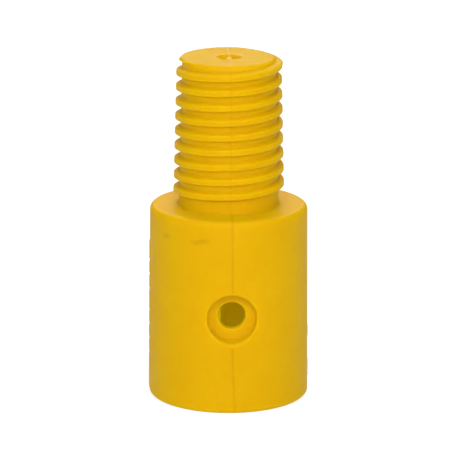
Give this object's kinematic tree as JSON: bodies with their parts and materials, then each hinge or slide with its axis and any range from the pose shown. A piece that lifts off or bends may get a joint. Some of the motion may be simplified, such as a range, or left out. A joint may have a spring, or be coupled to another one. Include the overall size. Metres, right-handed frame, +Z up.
{
  "type": "screw-thread fence insulator",
  "caption": "Moulded plastic fence insulator: a hollow barrel with a recessed cross hole and a coarse-threaded stud on top.",
  "frame": {"origin": "centre of the barrel's open lower end, on the axis", "axes": "+Z up along the threaded stud; the cross hole runs along Y and the mould parts on the YZ plane"},
  "size_m": [0.0274, 0.0274, 0.0591],
  "materials": {
    "yellow_plastic": "smooth semi-gloss moulded plastic"
  },
  "bodies": {
    "root": {"insulator_moulding": "yellow_plastic"}
  },
  "joints": []
}
